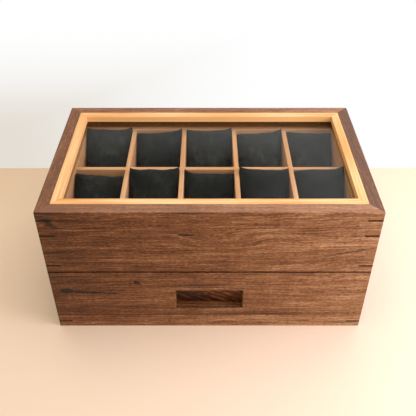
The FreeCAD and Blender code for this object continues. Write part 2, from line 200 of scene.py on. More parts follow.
def marked(tree, place, marks, seed):
    """Darkening and push of the grain by knots and streaks, each an oval with a soft and ragged edge."""
    ragged = shaken(tree, place, (5, 5, 2.5), (8 * MM, 0.0, 2.5 * MM), seed, detail=1.0)
    dark = 0.0
    push = 0.0
    for x, y, z, half_length, half_height, turn, strength, bulge in marks:
        oval = {
            "Vector": ragged,
            "Location": (x * MM, y * MM, z * MM),
            "Rotation": (0.0, math.radians(turn), 0.0),
            "Scale": (half_length * MM, half_length * MM, half_height * MM),
        }
        oval = add(tree, "Mapping", oval, vector_type="TEXTURE").outputs[0]
        away = add(tree, "VectorMath", {0: oval}, operation="LENGTH").outputs["Value"]
        core = {
            "Value": away,
            "From Min": CORE_START,
            "From Max": CORE_END,
            "To Min": strength,
            "To Max": 0.0,
        }
        core = add(tree, "MapRange", core, interpolation_type="SMOOTHSTEP").outputs[0]
        dark = add(tree, "Math", {0: dark, 1: core}, operation="ADD").outputs[0]
        if bulge:
            halo = {"Value": away, "From Min": 0.0, "From Max": PUSH_END, "To Min": bulge * MM, "To Max": 0.0}
            halo = add(tree, "MapRange", halo, interpolation_type="SMOOTHERSTEP").outputs[0]
            push = add(tree, "Math", {0: push, 1: halo}, operation="ADD").outputs[0]
    return dark, push


def mitre_line(tree, place):
    """1 on the thin glue line of the four mitres, where |X| - |Y| is what it is at the box's corner."""
    size = add(tree, "VectorMath", {0: place}, operation="ABSOLUTE").outputs[0]
    split = add(tree, "SeparateXYZ", {0: size})
    along = add(tree, "Math", {0: split.outputs[0], 1: split.outputs[1]}, operation="SUBTRACT").outputs[0]
    off = add(tree, "Math", {0: along, 1: MITRE_OFFSET}, operation="SUBTRACT").outputs[0]
    off = add(tree, "Math", {0: off}, operation="ABSOLUTE").outputs[0]
    near = {"Value": off, "From Min": 0.0, "From Max": GLUE_LINE, "To Min": 1.0, "To Max": 0.0}
    return add(tree, "MapRange", near).outputs[0]


print("a glue line is", round(2 * GLUE_LINE / MM, 1), "mm wide with its soft edges")

# %% [markdown]
# ## One finish for all the walnut
# Seven patterns of real sizes make up the wood: fine rings, broader ones, wide bands, dark veins, curl
# across the grain, short fibres and open pores. Each board could have a material drawn for it alone,
# but they came from the same tree. So one function makes them all, and takes only what differs: the
# side of the trunk that a board came from, its knots, and how dark it is.
#
# The boards are oiled, which gives a satin surface with open pores that show as short dark dashes. A
# painted sheen pales the faces that look up, and painted shade darkens the edges in the gap along the drawer.

# %% Rings and painted shade in the drawer gap
# Length along the grain, width across the rings and depth of each pattern, in millimetres
FINE, STREAK, BAND, VEIN = (42, 0.85, 14), (90, 3.6, 40), (260, 13, 90), (24, 1.1, 12)
CURL, FIBRE, PORE = (13, 40, 30), (4.5, 1.1, 1.1), (5.0, 0.7, 0.7)
# The trunk's bends are 150 mm long, and bring a ring up to 4.5 mm out of its place
BEND, BEND_REACH = (150, 50, 50), (0.0, 9 * MM, 9 * MM)
# Painted shade in the drawer gap: full up to 2.2 mm behind the front, gone from 4.5 mm
GAP_SHADE_FULL_TO, GAP_SHADE_CLEAR_FROM = FRONT + 2.2 * MM, FRONT + 4.5 * MM


def ring_place(tree, place, heart, taper, push):
    """Place with its Y changed for the ring it lies in: its distance to the heart line, plus the push."""
    centre = {"Vector": place, "Location": (0.0, -heart[0] * MM, -heart[1] * MM), "Rotation": (0, 0, taper)}
    centre = add(tree, "Mapping", centre).outputs[0]
    across = add(tree, "VectorMath", {0: centre, 1: (0.0, 1.0, 1.0)}, operation="MULTIPLY").outputs[0]
    ring = add(tree, "VectorMath", {0: across}, operation="LENGTH").outputs["Value"]
    ring = add(tree, "Math", {0: ring, 1: push}, operation="ADD").outputs[0]
    split = add(tree, "SeparateXYZ", {0: place})
    return add(tree, "CombineXYZ", {0: split.outputs[0], 1: ring, 2: split.outputs[2]}).outputs[0]


def painted_gap_shadow(tree, place, facing, shade_in_gap):
    """Painted shade in the gap: its share on faces looking up or down near the board's front, and 0
    elsewhere.
    """
    inward = add(tree, "SeparateXYZ", {0: place}).outputs[1]
    edge = {
        "Value": inward,
        "From Min": GAP_SHADE_FULL_TO,
        "From Max": GAP_SHADE_CLEAR_FROM,
        "To Min": shade_in_gap,
        "To Max": 0.0,
    }
    edge = add(tree, "MapRange", edge).outputs[0]
    level = add(tree, "Math", {0: facing}, operation="ABSOLUTE").outputs[0]
    level = {"Value": level, "From Min": 0.5, "From Max": 0.9, "To Min": 0.0, "To Max": edge}
    return add(tree, "MapRange", level).outputs[0]


# How far behind the front the painted shade in the drawer gap reaches
print("oiled edges are dark up to", round((GAP_SHADE_FULL_TO - FRONT) / MM, 1), "mm behind the front")

# %% The walnut finish


def walnut(
    name,
    along="X",
    seed=0.0,
    heart=(-68.0, 128.0),
    taper=0.06,
    turn=0.0,
    marks=(),
    colours=WALNUT,
    drift=0.0,
    tone=0.5,
    top_sheen=0.12,
    lines=1.05,
    stripes=0.5,
    shade_in_gap=0.0,
):
    """Oiled walnut whose grain runs along X or Y.

    The heart line's place is in millimetres across and up, its taper in radians and the turn of the grain
    in degrees. Drift is how much the tone rises in a metre along X, partly the plank's own tone and partly
    painted shade for light from the right. Top sheen is the share of painted sheen on faces that look up,
    lines and stripes are how strongly the fine and the broad rings show, and shade in gap is how dark the
    painted shade is on the edges in the gap along the drawer.
    """
    material, tree, shader = new_material(name)
    place = add(tree, "TexCoord").outputs["Object"]
    quarter = -math.pi / 2 if along == "Y" else 0.0
    turned = {"Vector": place, "Rotation": (0.0, math.radians(turn), quarter)}
    turned = add(tree, "Mapping", turned).outputs[0]
    bent = shaken(tree, turned, BEND, BEND_REACH, seed, detail=2.0)
    dark, push = marked(tree, place, marks, seed + 3) if marks else (0.0, 0.0)
    grown = ring_place(tree, bent, heart, taper, push)

    fine = figure(tree, grown, FINE, seed, detail=3.0, roughness=0.65).outputs[0]
    streak = figure(tree, grown, STREAK, seed + 5, detail=2.5).outputs[0]
    band = figure(tree, grown, BAND, seed + 9, detail=1.0).outputs[0]
    vein = figure(tree, grown, VEIN, seed + 29, detail=1.0).outputs[0]
    curl = figure(tree, turned, CURL, seed + 13, detail=1.0).outputs[0]
    fibre = figure(tree, turned, FIBRE, seed + 21, detail=2.0, roughness=0.7).outputs[0]
    pore = figure(tree, turned, PORE, seed + 17, detail=0.0).outputs[0]

    facing = rise(tree)
    upward = add(tree, "MapRange", {"Value": facing, "From Min": 0.5, "From Max": 0.9}).outputs[0]
    # The drift is partly painted shade for the light from the right. The lamp already lights the right end
    # of the top more, so the drift is halved there
    evened = add(tree, "MapRange", {"Value": upward, "To Min": drift, "To Max": 0.5 * drift}).outputs[0]
    forward = add(tree, "SeparateXYZ", {0: bent}).outputs[0]
    slow = add(tree, "Math", {0: forward, 1: evened, 2: tone}, operation="MULTIPLY_ADD").outputs[0]
    shade = weighed(tree, [(fine, lines), (streak, stripes), (band, 0.22), (curl, 0.15), (fibre, 0.85)], slow)
    colour = add(tree, "ValToRGB", {"Fac": shade}, stops=colours).outputs["Color"]

    open_pore = {"Value": pore, "From Min": 0.58, "From Max": 0.72, "To Min": 0.0, "To Max": 0.5}
    open_pore = add(tree, "MapRange", open_pore).outputs[0]
    vein = {"Value": vein, "From Min": 0.6, "From Max": 0.74, "To Min": 0.0, "To Max": 0.5}
    vein = add(tree, "MapRange", vein).outputs[0]
    # Painted sheen: faces that look up are paled towards a light tint
    painted_sheen = add(tree, "Math", {0: upward, 1: top_sheen}, operation="MULTIPLY").outputs[0]
    glue = add(tree, "Math", {0: mitre_line(tree, place), 1: GLUE_DARKNESS}, operation="MULTIPLY").outputs[0]
    layers = [(open_pore, WALNUT_DARK), (vein, WALNUT_DARK)]
    if marks:
        layers.append((dark, WALNUT_DARK))
    layers += [(painted_sheen, PAINTED_SHEEN_TINT), (glue, WALNUT_DARK)]
    # Painted shade darkens the edges in the gap along the drawer
    if shade_in_gap:
        layers.append((painted_gap_shadow(tree, place, facing, shade_in_gap), WALNUT_DARK))
    tree.links.new(layered(tree, colour, layers), shader.inputs["Base Color"])

    rough = {"Value": fine, "From Min": 0.25, "From Max": 0.75, "To Min": 0.56, "To Max": 0.42}
    tree.links.new(add(tree, "MapRange", rough).outputs[0], shader.inputs["Roughness"])
    relief = add(tree, "Math", {0: fine, 1: open_pore}, operation="SUBTRACT").outputs[0]
    bump = add(tree, "Bump", {"Height": relief, "Strength": 0.35, "Distance": 0.15 * MM})
    tree.links.new(bump.outputs[0], shader.inputs["Normal"])
    shader.inputs["Specular IOR Level"].default_value = 0.32
    return material


print("walnut's finest lines are", FINE[1], "mm apart, and its pores are", PORE[0], "mm long")

# %% [markdown]
# ## The front plank
# The lid's edge, the board under it, the drawer's front and the rail below were sawn from one plank,
# so the same pattern runs through all four, and the streaks and knots carry on across the joints. The
# plank is painted darker to the left, partly its own tone and partly painted shade for the light that
# falls from the right. Its pieces differ a little in tone, and the rail is painted lighter, as painted
# light bounced up from the table. The marks are those of the real plank. They could be left to chance
# like the rest of the grain, but they are what one knows this box by, so each is given its place.

# %% Walnut boards
FACE = FRONT / MM
# Each mark: X, Y, Z, half length, half height, turn in degrees, darkness and push of the grain
FRONT_MARKS = [
    (-161, FACE, 59.6, 7.0, 3.8, 4, 3.0, 2.5),
    (-148, FACE, 58.2, 7.0, 2.0, 4, 2.6, 0),
    (-131, FACE, 57.2, 13.0, 1.6, 2, 2.0, 0),
    (-110, FACE, 56.2, 13.0, 1.2, 0, 1.2, 0),
    (-81, FACE, 73.5, 3.4, 2.3, 0, 2.8, 3.0),
    (-25, FACE, 143.8, 9.5, 1.5, 0, 2.0, 0),
    (-43, FACE, 140.0, 11.0, 4.0, 8, 0.4, 0),
    (-8, FACE, 68.5, 62.0, 2.8, -3, 0.5, 0),
    (147, FACE, 119.0, 36.0, 1.4, -14, 0.8, 0),
    (165, FACE, 100.0, 22.0, 9.0, 0, 0.0, 8.0),
    (152, FACE, 7.5, 17.0, 3.0, 0, 0.5, 0),
    (45, FACE, 21.5, 150.0, 1.4, -0.5, 0.6, 0),
    (-165, FACE, 163.0, 5.0, 2.4, 15, 2.0, 0),
    (-166, FACE, 160.0, 12.0, 3.6, 38, 0.9, 1.5),
    (12, FACE, 135.0, 20.0, 5.5, 0, 0.0, -6.0),
]
# The drift and the rail's higher tone are partly painted light: shade to the left, light from the table on
# the rail
for name, tone, drift, top_sheen, shade_in_gap, pieces in (
    ("walnut_lid_front", 0.49, 1.1, 0.16, 0.0, ["lid_front_rail"]),
    ("walnut_front_plank", 0.51, 1.1, 0.0, 0.65, ["upper_front_board", "drawer_front"]),
    ("walnut_front_rail", 0.65, 0.8, 0.0, 0.65, ["bottom_front_rail"]),
):
    look = {"marks": FRONT_MARKS, "drift": drift, "tone": tone, "top_sheen": top_sheen, "shade_in_gap": shade_in_gap}
    paint(walnut(name, "X", 2.0, (-400.0, 330.0), 0.01, **look), *pieces)

left_boards = walnut("walnut_left_boards", "Y", 21.0, (-120.0, 400.0), 0.02, tone=0.36)
paint(left_boards, "left_side_board", "lid_left_rail")
right_boards = walnut("walnut_right_boards", "Y", 34.0, (230.0, 420.0), -0.02, tone=0.24)
paint(right_boards, "right_side_board", "lid_right_rail")
back_boards = walnut("walnut_back_boards", "X", 47.0, (66.0, 50.0), -0.06, tone=0.54, top_sheen=0.16)
paint(back_boards, "back_board", "lid_back_rail")
print(len(FRONT_MARKS), "marks on the front plank")

# %% [markdown]
# ## The glass beads
# Four thin walnut strips under the pane hold it in the lid. Little light reaches them, so they look
# deeper and redder than the boards. Through the glass one sees the rear one, above the pillows. They
# could be left to the shadow alone, but it isn't as deep as in the photograph, so the long ones take
# darker colours and the short ones a lower tone.

# %% Glass beads
BEAD_HEART = (40.0, 90.0)
BEAD = [(0.1, "#220d04"), (0.35, "#451e08"), (0.55, "#633010"), (0.8, "#874a1e")]
long_beads = walnut("walnut_beads_long", "X", 55.0, BEAD_HEART, colours=BEAD, tone=0.54)
paint(long_beads, "front_glass_bead", "back_glass_bead")
for side, tone in (("left", 0.45), ("right", -0.1)):
    paint(walnut("walnut_bead_" + side, "Y", 61.0, BEAD_HEART, tone=tone), side + "_glass_bead")
print("four beads under the pane")

# %% [markdown]
# ## Figured walnut behind the finger pull
# The slot in the drawer's front shows a separate slip of darker wood. Its grain runs down to the
# right in strong stripes, so it is the same walnut, turned, with deeper colours.

# %% Figured walnut
FIGURED = [(0.3, "#281108"), (0.46, "#40200e"), (0.58, "#683819"), (0.76, "#96602f")]
PULL_GRAIN_TURN = -24.0
figured = {"turn": PULL_GRAIN_TURN, "colours": FIGURED, "lines": 0.5, "stripes": 1.25}
paint(walnut("figured_walnut", "X", 71.0, (-60.0, 90.0), **figured), "pull_backing")
print("figured slip turned by", PULL_GRAIN_TURN, "degrees")

# %% [markdown]
# ## Straight-grained woods
# The other woods of the box are finer and straighter than the walnut, and their rings hardly show. A
# heart line would be lost on them, so one simpler finish serves them all: long thin streaks along the
# piece, over a slow drift of tone. The first to take it are the splines: thin slips of nearly black
# wood, glued into saw cuts across each mitre, where they show as dark dashes at the corners. Wenge is
# such a wood: dark brown with fine straight pale lines.

# %% Spline wood
GLUE_BROWN = "#5a3a1c"
# The painted shadow line where a strip meets the pane, from its full darkness up to where it is gone
PANE_SHADOW_FULL_TO, PANE_SHADOW_CLEAR_FROM = 0.6 * MM, 1.1 * MM


def straight_wood(name, along, stops, seed=0.0, grain=0.6, roughness=0.5, glue=0.0, foot=None, edge=None):
    """Fine straight-grained wood: long thin streaks along X, Y or Z, over a slow drift of tone.

    Grain is the width of the thinnest streaks in millimetres, and glue is how dark the mitres' glue lines
    are. Foot is the height at which a painted shadow line runs along the piece, and edge the colour of a
    painted glow that upright faces are mixed towards.
    """
    material, tree, shader = new_material(name)
    place = add(tree, "TexCoord").outputs["Object"]

    def sized(length, width):
        """Size of a pattern that is long along the piece and narrow across it."""
        return tuple(length if axis == along else width for axis in "XYZ")

    fine = figure(tree, place, sized(60, grain), seed, detail=2.0, roughness=0.6).outputs[0]
    streak = figure(tree, place, sized(140, grain * 5), seed + 4, detail=1.0).outputs[0]
    drift = figure(tree, place, sized(90, 26), seed + 8, detail=1.0).outputs[0]
    tone = weighed(tree, [(fine, 0.8), (streak, 0.7), (drift, 0.5)])
    colour = add(tree, "ValToRGB", {"Fac": tone}, stops=stops).outputs["Color"]
    layers = []
    if edge:
        # Painted glow: upright faces are mixed towards a brighter colour
        upright = {"Value": rise(tree), "From Min": 0.3, "From Max": 0.7, "To Min": 0.7, "To Max": 0.0}
        layers.append((add(tree, "MapRange", upright).outputs[0], edge))
    if glue:
        line = add(tree, "Math", {0: mitre_line(tree, place), 1: glue}, operation="MULTIPLY").outputs[0]
        layers.append((line, GLUE_BROWN))
    # Painted shadow: a dark line along the piece just above the pane
    if foot:
        low = {"Value": add(tree, "SeparateXYZ", {0: place}).outputs[2], "To Min": 0.9, "To Max": 0.0}
        low |= {"From Min": foot + PANE_SHADOW_FULL_TO, "From Max": foot + PANE_SHADOW_CLEAR_FROM}
        layers.append((add(tree, "MapRange", low).outputs[0], WALNUT_DARK))
    tree.links.new(layered(tree, colour, layers), shader.inputs["Base Color"])
    rough = add(tree, "MapRange", {"Value": fine, "To Min": roughness + 0.08, "To Max": roughness - 0.08})
    tree.links.new(rough.outputs[0], shader.inputs["Roughness"])
    bump = add(tree, "Bump", {"Height": fine, "Strength": 0.25, "Distance": 0.08 * MM})
    tree.links.new(bump.outputs[0], shader.inputs["Normal"])
    shader.inputs["Specular IOR Level"].default_value = 0.25
    return material


WENGE = [(0.25, "#0d0704"), (0.6, "#1c100a"), (0.85, "#33221a")]
spline_wood = straight_wood("wenge_splines", "X", WENGE, seed=3.0, roughness=0.7)
paint(spline_wood, "corner_splines", "lid_splines")
print("splines in", spline_wood.name)

# %% [markdown]
# ## The pale rim, the dividers and the drawer's box
# The rim round the glass is a honey-coloured maple under lacquer. Its upright inner faces are mixed
# towards a brighter colour, a painted glow for the light that goes back and forth between them, and a
# painted shadow line runs where they meet the pane. The liners and dividers are the same kind of wood
# left matte, a little pinker. The drawer's own box is plain maple, and the panels are birch plywood,
# whose face is cut round the log and so shows a wide, soft figure.

# %% Pale woods
RIM = [(0.2, "#c98f52"), (0.45, "#deab70"), (0.6, "#e8bc86"), (0.85, "#f1cfa0")]
# Colour of the painted glow on the rim's upright inner faces
RIM_PAINTED_GLOW = "#fccb85"
LINER = [(0.2, "#c68c5f"), (0.5, "#dfa276"), (0.85, "#ebbc94")]
MAPLE = [(0.2, "#cfae84"), (0.5, "#dfc29a"), (0.85, "#ecd6b4")]
BIRCH = [(0.2, "#c9a878"), (0.5, "#dcc094"), (0.85, "#e8d2ab")]
pane_low, pane_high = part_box("glass_pane")
rim_look = {"seed": 11.0, "roughness": 0.6, "glue": 0.35, "foot": pane_high.z, "edge": RIM_PAINTED_GLOW}
dividers = ["cross_divider_%d" % number for number in range(1, 5)]
for along, sides, liner_pieces, box_piece in (
    ("X", ("front", "back"), ["long_divider"], "drawer_stops"),
    ("Y", ("left", "right"), dividers, "drawer_kickers"),
):
    rim_wood = straight_wood("maple_rim_" + along.lower(), along, RIM, **rim_look)
    paint(rim_wood, *[side + "_rim" for side in sides])
    liner_wood = straight_wood("maple_liner_" + along.lower(), along, LINER, seed=23.0, roughness=0.6)
    paint(liner_wood, *[side + "_liner" for side in sides], *liner_pieces)
    box_wood = straight_wood("maple_drawer_" + along.lower(), along, MAPLE, seed=37.0, roughness=0.55)
    paint(box_wood, *["drawer_box_" + side for side in sides], box_piece)
birch = straight_wood("birch_plywood", "X", BIRCH, seed=43.0, grain=2.2, roughness=0.6)
paint(birch, "base_panel", "compartment_floor", "drawer_bottom")
print("the rim stands", round((lid_high.z - pane_high.z) / MM, 1), "mm over the pane")

# %% [markdown]
# ## Felt
# Felt is a mat of tangled wool. It could be made of loose fibres, but at this size they would not be
# seen. It has no direction, scatters light softly and shows tiny clumps, and that is all a pattern of
# clumps over a soft mottle has to give.

# %% Felt


def felt(name):
    """Charcoal wool felt: clumps of a millimetre or two over a soft mottle, matte with a dusty sheen."""
    material, tree, shader = new_material(name)
    place = add(tree, "TexCoord").outputs["Object"]
    clump = figure(tree, place, (1.3, 1.3, 1.3), 5.0, detail=3.0, roughness=0.7).outputs[0]
    mottle = figure(tree, place, (16, 16, 16), 7.0).outputs[0]
    tone = weighed(tree, [(clump, 1.0), (mottle, 0.5)])
    charcoal = [(0.2, "#141414"), (0.5, "#20201f"), (0.85, "#343432")]
    colour = add(tree, "ValToRGB", {"Fac": tone}, stops=charcoal).outputs["Color"]
    tree.links.new(colour, shader.inputs["Base Color"])
    bump = add(tree, "Bump", {"Height": clump, "Strength": 0.5, "Distance": 0.4 * MM})
    tree.links.new(bump.outputs[0], shader.inputs["Normal"])
    shader.inputs["Roughness"].default_value = 0.95
    shader.inputs["Sheen Weight"].default_value = 0.25
    return material


paint(felt("charcoal_felt"), "compartment_felt", "drawer_felt")
print("felt under the pillows and in the drawer")

# %% [markdown]
# ## Glass
# The pane is 3 mm of clear float glass. Its shader bends and mirrors light as glass does. For rays that
# go from a lamp or a wall to what is inside, it is simply open, because tracing light through glass is
# slow and noisy, and a thin flat pane hardly changes it. Float glass has an IOR of 1.5. The pane in the
# photograph mirrors the room only faintly, so it is matched with a lower one.

# %% Glass
GLASS_IOR = 1.22
GLASS_TINT = "#f2f7f4"


def float_glass(name):
    """Clear glass for the eye, open for light that is on its way to the things below it."""
    material, tree, shader = new_material(name)
    shader.inputs["Base Color"].default_value = linear(GLASS_TINT)
    shader.inputs["Transmission Weight"].default_value = 1.0
    shader.inputs["Roughness"].default_value = 0.0
    shader.inputs["IOR"].default_value = GLASS_IOR
    path = add(tree, "LightPath")
    lets_through = {0: path.outputs["Is Shadow Ray"], 1: path.outputs["Is Diffuse Ray"]}
    lets_through = add(tree, "Math", lets_through, operation="MAXIMUM").outputs[0]
    film = add(tree, "BsdfTransparent", {"Color": linear(GLASS_TINT)})
    both = add(tree, "MixShader", {0: lets_through, 1: shader.outputs[0], 2: film.outputs[0]})
    tree.links.new(both.outputs[0], tree.get_output_node("ALL").inputs["Surface"])
    return material


paint(float_glass("float_glass"), "glass_pane")
print("the pane is", round((pane_high.z - pane_low.z) / MM, 1), "mm thick")

# %% [markdown]
# ## Metal
# The hinges are satin brass and the pins, screws and brads are steel. Both are drawn and rolled, which
# leaves fine lines, and both are bare metal, so their colour is all in the reflection.

# %% Brass and steel


def drawn_metal(name, stops, roughness):
    """Metal with fine lines along X, a faint tarnish and no paint."""
    material, tree, shader = new_material(name)
    place = add(tree, "TexCoord").outputs["Object"]
    line = figure(tree, place, (12, 0.25, 0.25), 2.0, detail=1.0).outputs[0]
    tarnish = figure(tree, place, (4, 4, 4), 6.0).outputs[0]
    tone = weighed(tree, [(line, 0.5), (tarnish, 0.9)])
    colour = add(tree, "ValToRGB", {"Fac": tone}, stops=stops).outputs["Color"]
    tree.links.new(colour, shader.inputs["Base Color"])
    rough = add(tree, "MapRange", {"Value": tone, "To Min": roughness + 0.12, "To Max": roughness - 0.08})
    tree.links.new(rough.outputs[0], shader.inputs["Roughness"])
    shader.inputs["Metallic"].default_value = 1.0
    return material


BRASS = [(0.2, "#8f6c34"), (0.5, "#b8924e"), (0.8, "#d3b271")]
STEEL = [(0.2, "#6e6e70"), (0.5, "#9a9a9c"), (0.8, "#bcbcbe")]
brass_pieces = ["hinge_case_leaves", "hinge_lid_leaves", "case_hinge_screws", "lid_hinge_screws"]
steel_pieces = ["hinge_pins", "bead_brads", "drawer_front_screws"]
paint(drawn_metal("satin_brass", BRASS, roughness=0.34), *brass_pieces)
paint(drawn_metal("drawn_steel", STEEL, roughness=0.38), *steel_pieces)
print(len(brass_pieces), "brass pieces and", len(steel_pieces), "steel pieces")

# %% [markdown]
# ## Pillows
# A watch pillow is a small sewn case with a soft filling. The case is cut flat, so when it is stuffed
# its middle swells, its sides are drawn in with short folds, and its four corners stay as flat pointed
# ears. Modelling those folds by hand would look stiff. Here two flat layers of cloth are joined round
# their edge and blown up by pressure in a cloth simulation, and each case starts with slightly
# different waves, so that no two pillows crease alike.

# %% Cut and sew the cases
CASE_WIDTH = 74 * MM
CASE_LENGTH = 100 * MM
CASE_DOME = 4 * MM
CELLS = (34, 50)
WAVE_COUNT = 12
WAVE_TURN = 9
WAVE_HEIGHT = 0.3 * MM
# The simulation works in metres and is made for large pieces, so the cases are ten times their size in it
SIM_SCALE = 10.0


def layer_indices():
    """Point numbers of the upper and the lower layer as grids. The lower one shares the upper one's edge."""
    upper = np.arange((CELLS[0] + 1) * (CELLS[1] + 1)).reshape(CELLS[0] + 1, CELLS[1] + 1)
    lower = upper.copy()
    lower[1:-1, 1:-1] = upper.size + np.arange((CELLS[0] - 1) * (CELLS[1] - 1)).reshape(CELLS[0] - 1, -1)
    return upper, lower


def quads(index):
    """Point numbers of the four corners of every cell of a grid of point numbers."""
    corners = [index[:-1, :-1], index[1:, :-1], index[1:, 1:], index[:-1, 1:]]
    return np.stack(corners, -1).reshape(-1, 4)


def sewn_case(name, seed):
    """Two layers of cloth as one closed grid: Z is plus or minus a low dome, and their edges are shared.

    With U and V from -1 to 1, the dome is sqrt(1 - U^2) sqrt(1 - V^2), and waves are sines of U and V.
    """
    u, v = np.meshgrid(np.linspace(-1, 1, CELLS[0] + 1), np.linspace(-1, 1, CELLS[1] + 1), indexing="ij")
    rim = np.sqrt(np.clip(1 - u**2, 0, 1) * np.clip(1 - v**2, 0, 1))
    random = np.random.default_rng(seed)
    waves = np.zeros_like(u)
    for across, along, phase, height in random.uniform(-1, 1, (WAVE_COUNT, 4)):
        waves += height * np.sin(WAVE_TURN * across * u + WAVE_TURN * along * v + math.tau * phase)
    waves *= WAVE_HEIGHT * rim
    flat = u * CASE_WIDTH / 2, v * CASE_LENGTH / 2
    layers = [np.stack([*flat, side * CASE_DOME * rim + waves], -1) for side in (1, -1)]
    upper, lower = layer_indices()
    points = np.concatenate([layers[0].reshape(-1, 3), layers[1][1:-1, 1:-1].reshape(-1, 3)])
    faces = np.concatenate([quads(upper), quads(lower)[:, ::-1]])
    mesh = bpy.data.meshes.new(name)
    mesh.from_pydata((points * SIM_SCALE).tolist(), [], faces.tolist())
    case = bpy.data.objects.new(name, mesh)
    scene.collection.objects.link(case)
    return case


pillow_names = ["pillow_%s_%d" % (row, number) for row in ("back", "front") for number in range(1, 6)]
cases = {name: sewn_case(name + "_cloth", 40 + seed) for seed, name in enumerate(pillow_names)}
print(len(cases), "cases cut", round(CASE_WIDTH / MM), "x", round(CASE_LENGTH / MM), "mm")

# %% [markdown]
# ## Blow the cases up
# The cloth is thin and brushed: it stretches little, folds easily, and has no weight while it is blown
# up. Thirty steps bring it to rest. The two seams at the ends would crease in their middle, where the
# real ones lie smooth, so that crease is bridged afterwards.

# %% Simulate the cloth
SIM_FRAMES = 30
CLOTH = {
    "quality": 6,
    "mass": 0.15,
    "tension_stiffness": 30,
    "compression_stiffness": 8,
    "shear_stiffness": 15,
    "bending_stiffness": 0.3,
    "tension_damping": 10,
    "compression_damping": 10,
    "shear_damping": 10,
    "air_damping": 2,
    "use_pressure": True,
    "uniform_pressure_force": 9.0,
}
BRIDGE_HALF = 4
BRIDGE_START, BRIDGE_FADE = 0.6, 0.3


def points_of(mesh):
    """Points of a mesh as rows of X, Y and Z."""
    points = np.empty(len(mesh.vertices) * 3)
    mesh.vertices.foreach_get("co", points)
    return points.reshape(-1, 3)


def shape_of(case):
    """Points of a case after the simulation, in metres, with the crease at each end bridged.

    The bridge is a straight line, (1 - s) times its first point plus s times its last, for s from 0 to 1.
    """
    points = points_of(case.evaluated_get(bpy.context.evaluated_depsgraph_get()).data) / SIM_SCALE
    first, last = CELLS[0] // 2 - BRIDGE_HALF, CELLS[0] // 2 + BRIDGE_HALF
    share = np.linspace(0, 1, last - first + 1)[:, None, None]
    from_middle = np.abs(np.linspace(-1, 1, CELLS[1] + 1))
    near_end = np.clip((from_middle - BRIDGE_START) / BRIDGE_FADE, 0, 1)[None, :, None]
    for index in layer_indices():
        layer = points[index]
        bridge = layer[first] * (1 - share) + layer[last] * share
        layer[first : last + 1] += (bridge - layer[first : last + 1]) * near_end
        points[index] = layer
    return points


for case in cases.values():
    cloth = case.modifiers.new("cloth", "CLOTH")
    for setting, value in CLOTH.items():
        setattr(cloth.settings, setting, value)
    cloth.settings.effector_weights.gravity = 0
    cloth.point_cache.frame_end = SIM_FRAMES
for number in range(1, SIM_FRAMES + 1):
    scene.frame_set(number)
blown = {name: shape_of(case) for name, case in cases.items()}
print("first pillow blown up to", np.round(np.ptp(blown[pillow_names[0]], axis=0) / MM, 1), "mm")

# %% [markdown]
# ## Shape each pillow
# A filled pillow is fuller than an empty case under pressure. Its flanks are held by the dividers, it
# sags a little under its own weight, its ends are pressed flat, and creases run out of its rear
# corners. The dividers could be put into the simulation, but that is slow and has to be tuned for
# each pillow. Bending the blown cases afterwards is quick, and gives the same size every time.

# %% The shape of a pillow
PILLOW_LENGTH = 92 * MM
PILLOW_HALF_WIDTH = 28.8 * MM
PILLOW_HALF_THICKNESS = 19 * MM
PILLOW_SAG = 6 * MM
PILLOW_FULLNESS = 1.1
FLANK_START = 26 * MM
END_START, END_FLATNESS = 0.88, 0.95
SEAM_DIP = 2.2 * MM
FOLD = 2.6 * MM
FOLD_REACH = 12.0 * MM
FOLD_COUNT, FOLD_TURN = 5, 0.8
LEFT_FOLD, RIGHT_FOLD = 0.6, 1.0


def held(distance, start, limit):
    """Distance left as it is up to start, then eased so that it never passes limit.

    From there on it is start + room (1 - exp(-beyond / room)), where room is what start leaves of limit.
    """
    room = limit - start
    beyond = np.maximum(np.abs(distance) - start, 0)
    return np.sign(distance) * (np.minimum(np.abs(distance), start) + room * (1 - np.exp(-beyond / room)))


def straightened(x, y):
    """Y stretched so that each end seam, which the swelling draws in, becomes a shallow arc.

    The arc lies at half the pillow's length, less the seam's dip times 1 - (x / end)^2.
    """
    edge = np.arange(CELLS[0] + 1) * (CELLS[1] + 1)
    stretched = y.copy()
    for side, seam in ((-1, edge), (1, edge + CELLS[1])):
        seam = seam[np.argsort(x[seam])]
        places = x[seam]
        own = np.interp(x, places, side * y[seam])
        wanted = PILLOW_LENGTH / 2 - SEAM_DIP * (1 - (x / places.max()) ** 2)
        here = side * y > 0
        stretched[here] = (y * wanted / own)[here]
    return stretched


def corner_fold(across, along, share):
    """Creases that run out of a rear corner, at distance r and angle a from it.

    Their height is h cos(5 (a - 0.8)) (r / R) exp(1 - r / R), where R is how far they reach.
    """
    away = np.hypot(across, along) / FOLD_REACH
    angle = np.arctan2(along, across)
    return share * FOLD * np.cos(FOLD_COUNT * (angle - FOLD_TURN)) * away * np.exp(1 - away)


def filled(points):
    """X, Y and Z of a filled pillow: held at its flanks, thin at its ends, and creased at the rear.

    It sags by 1 - s^2 times its full sag, for s from -1 at its front end to 1 at its rear end.
    """
    x, y, z = points.T.copy()
    y = straightened(x, y)
    x = held(x * PILLOW_FULLNESS, FLANK_START, PILLOW_HALF_WIDTH)
    station = y / (PILLOW_LENGTH / 2)
    at_end = np.clip((np.abs(station) - END_START) / (1 - END_START), 0, 1)
    z = z * 2 * PILLOW_HALF_THICKNESS / np.ptp(z)
    z = z * (1 - END_FLATNESS * at_end**2) - PILLOW_SAG * (1 - station**2)
    for side, share in ((-1, LEFT_FOLD), (1, RIGHT_FOLD)):
        z = z + corner_fold(PILLOW_HALF_WIDTH - side * x, PILLOW_LENGTH / 2 - y, share)
    return x, y, z


print("a pillow is", round(2 * PILLOW_HALF_WIDTH / MM, 1), "mm wide,", round(PILLOW_LENGTH / MM), "mm long")

